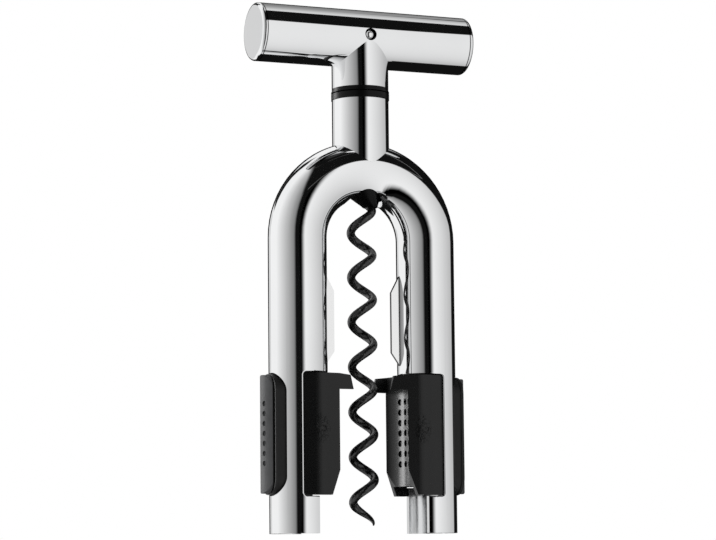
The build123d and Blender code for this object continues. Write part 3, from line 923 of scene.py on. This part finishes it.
def lay_floor(look):
    """A pale floor that fades out round the corkscrew and hides nothing from below."""
    mesh = bpy.data.meshes.new("studio_floor")
    sides = 96
    reach = 0.6
    ring = [
        (reach * math.cos(math.tau * i / sides), reach * math.sin(math.tau * i / sides), 0.0)
        for i in range(sides)
    ]
    mesh.from_pydata(ring, [], [list(range(sides))])
    floor = bpy.data.objects.new("studio_floor", mesh)
    bpy.context.scene.collection.objects.link(floor)
    material, tree, shader, place = new_material("Studio floor", {"Roughness": 0.8})
    shade = noise(tree, place, 30.0, 3.0)
    tint = add(tree, "ShaderNodeMix", {"Factor": shade}, data_type="RGBA")
    tint.inputs[6].default_value = (*(0.97 * c for c in look.floor), 1)
    tint.inputs[7].default_value = (*look.floor, 1)
    tree.links.new(tint.outputs[2], shader.inputs["Base Color"])
    fade = spread(tree, length_of(tree, place), 0.1, reach * 0.95, 1.0, 0.0, smooth=True)
    behind = add(tree, "ShaderNodeNewGeometry").outputs["Backfacing"]
    shown = sum_of(tree, "MULTIPLY", fade, sum_of(tree, "SUBTRACT", 1.0, behind))
    clear = add(tree, "ShaderNodeBsdfTransparent")
    mix = add(tree, "ShaderNodeMixShader", {0: shown, 1: clear.outputs[0], 2: shader.outputs[0]})
    output = next(n for n in tree.nodes if n.type == "OUTPUT_MATERIAL")
    tree.links.new(mix.outputs[0], output.inputs["Surface"])
    mesh.materials.append(material)
    floor.visible_glossy = False


def towards(azimuth, elevation):
    """The direction at an angle round the corkscrew from the front and an angle above level."""
    flat = math.cos(elevation)
    return Vector((math.sin(azimuth) * flat, -math.cos(azimuth) * flat, math.sin(elevation)))


def hang_lamp(name, watts, size, azimuth, elevation, distance=0.9):
    """A square lamp that faces the middle of the corkscrew, placed by angles in degrees."""
    back = towards(math.radians(azimuth), math.radians(elevation))
    light = bpy.data.lights.new(name, "AREA")
    light.energy = watts
    light.size = size
    lamp = bpy.data.objects.new(name, light)
    bpy.context.scene.collection.objects.link(lamp)
    lamp.location = back * distance + Vector((0, 0, CAD_BOX[1].z / 2))
    lamp.rotation_euler = back.to_track_quat("Z", "Y").to_euler()
    lamp.visible_glossy = False
    lamp.visible_camera = False
    return lamp


def light_only(lamp, names):
    """Lets a lamp shine on the named CAD nodes alone, and gleam on them."""
    lit = bpy.data.collections.new(lamp.name + "_lights")
    for name in names:
        lit.objects.link(NODES[name])
    lamp.light_linking.receiver_collection = lit
    lamp.visible_glossy = True


def place_camera(look):
    """The camera at the photograph's angle."""
    back = towards(look.camera_azimuth, look.camera_elevation)
    level = Vector((math.cos(look.camera_azimuth), math.sin(look.camera_azimuth), 0))
    right = Matrix.Rotation(look.camera_roll, 3, back) @ level
    up = back.cross(right)
    turn = Matrix((right, up, back)).transposed().to_4x4()
    data = bpy.data.cameras.new("camera")
    data.sensor_fit = "HORIZONTAL"
    data.sensor_width = 36
    data.lens = look.lens
    camera = bpy.data.objects.new("camera", data)
    bpy.context.scene.collection.objects.link(camera)
    camera.matrix_world = Matrix.Translation(look.camera_place) @ turn
    bpy.context.scene.camera = camera


class CORKSCREW_OT_studio(bpy.types.Operator):
    """Builds the floor, the lamps, the surroundings and the camera"""

    bl_idname = "corkscrew.studio"
    bl_label = "Studio"

    def execute(self, context):
        look = context.scene.corkscrew_studio
        lay_floor(look)
        light_studio(context, look)
        hang_lamp("key_lamp", look.key_power, size=0.6, azimuth=-60, elevation=48)
        hang_lamp("side_lamp", look.side_power, size=0.5, azimuth=60, elevation=25)
        rear = hang_lamp("rear_lamp", look.rear_power, size=0.35, azimuth=-138, elevation=5)
        light_only(rear, PLASTICS)
        place_camera(look)
        context.scene.view_settings.view_transform = "Standard"
        return {"FINISHED"}


class CORKSCREW_PT_panel(bpy.types.Panel):
    """Sizes, colours and build steps of the corkscrew"""

    bl_idname = "CORKSCREW_PT_panel"
    bl_label = "Corkscrew"
    bl_space_type = "VIEW_3D"
    bl_region_type = "UI"
    bl_category = "Corkscrew"

    def draw(self, context):
        layout = self.layout
        for name in STEPS:
            layout.operator(name)
        for setting in SETTINGS:
            group = getattr(context.scene, setting)
            box = layout.box()
            for prop in group.__annotations__:
                box.prop(group, prop)


STEPS = (
    "corkscrew.studio",
    "corkscrew.frame",
    "corkscrew.handle",
    "corkscrew.shaft",
    "corkscrew.rings",
    "corkscrew.jaws",
    "corkscrew.pads",
    "corkscrew.worm",
)
SETTINGS = {
    "corkscrew_steel": CorkscrewSteel,
    "corkscrew_plastic": CorkscrewPlastic,
    "corkscrew_worm": CorkscrewWorm,
    "corkscrew_studio": CorkscrewStudio,
}
CLASSES = (
    *SETTINGS.values(),
    CORKSCREW_OT_studio,
    CORKSCREW_OT_frame,
    CORKSCREW_OT_handle,
    CORKSCREW_OT_shaft,
    CORKSCREW_OT_rings,
    CORKSCREW_OT_jaws,
    CORKSCREW_OT_pads,
    CORKSCREW_OT_worm,
    CORKSCREW_PT_panel,
)


def register():
    for made in CLASSES:
        bpy.utils.register_class(made)
    for name, group in SETTINGS.items():
        setattr(bpy.types.Scene, name, PointerProperty(type=group))


def unregister():
    for name in SETTINGS:
        delattr(bpy.types.Scene, name)
    for made in reversed(CLASSES):
        bpy.utils.unregister_class(made)


def main():
    register()
    for step in STEPS:
        group, name = step.split(".")
        getattr(getattr(bpy.ops, group), name)()


if __name__ == "__main__":
    main()
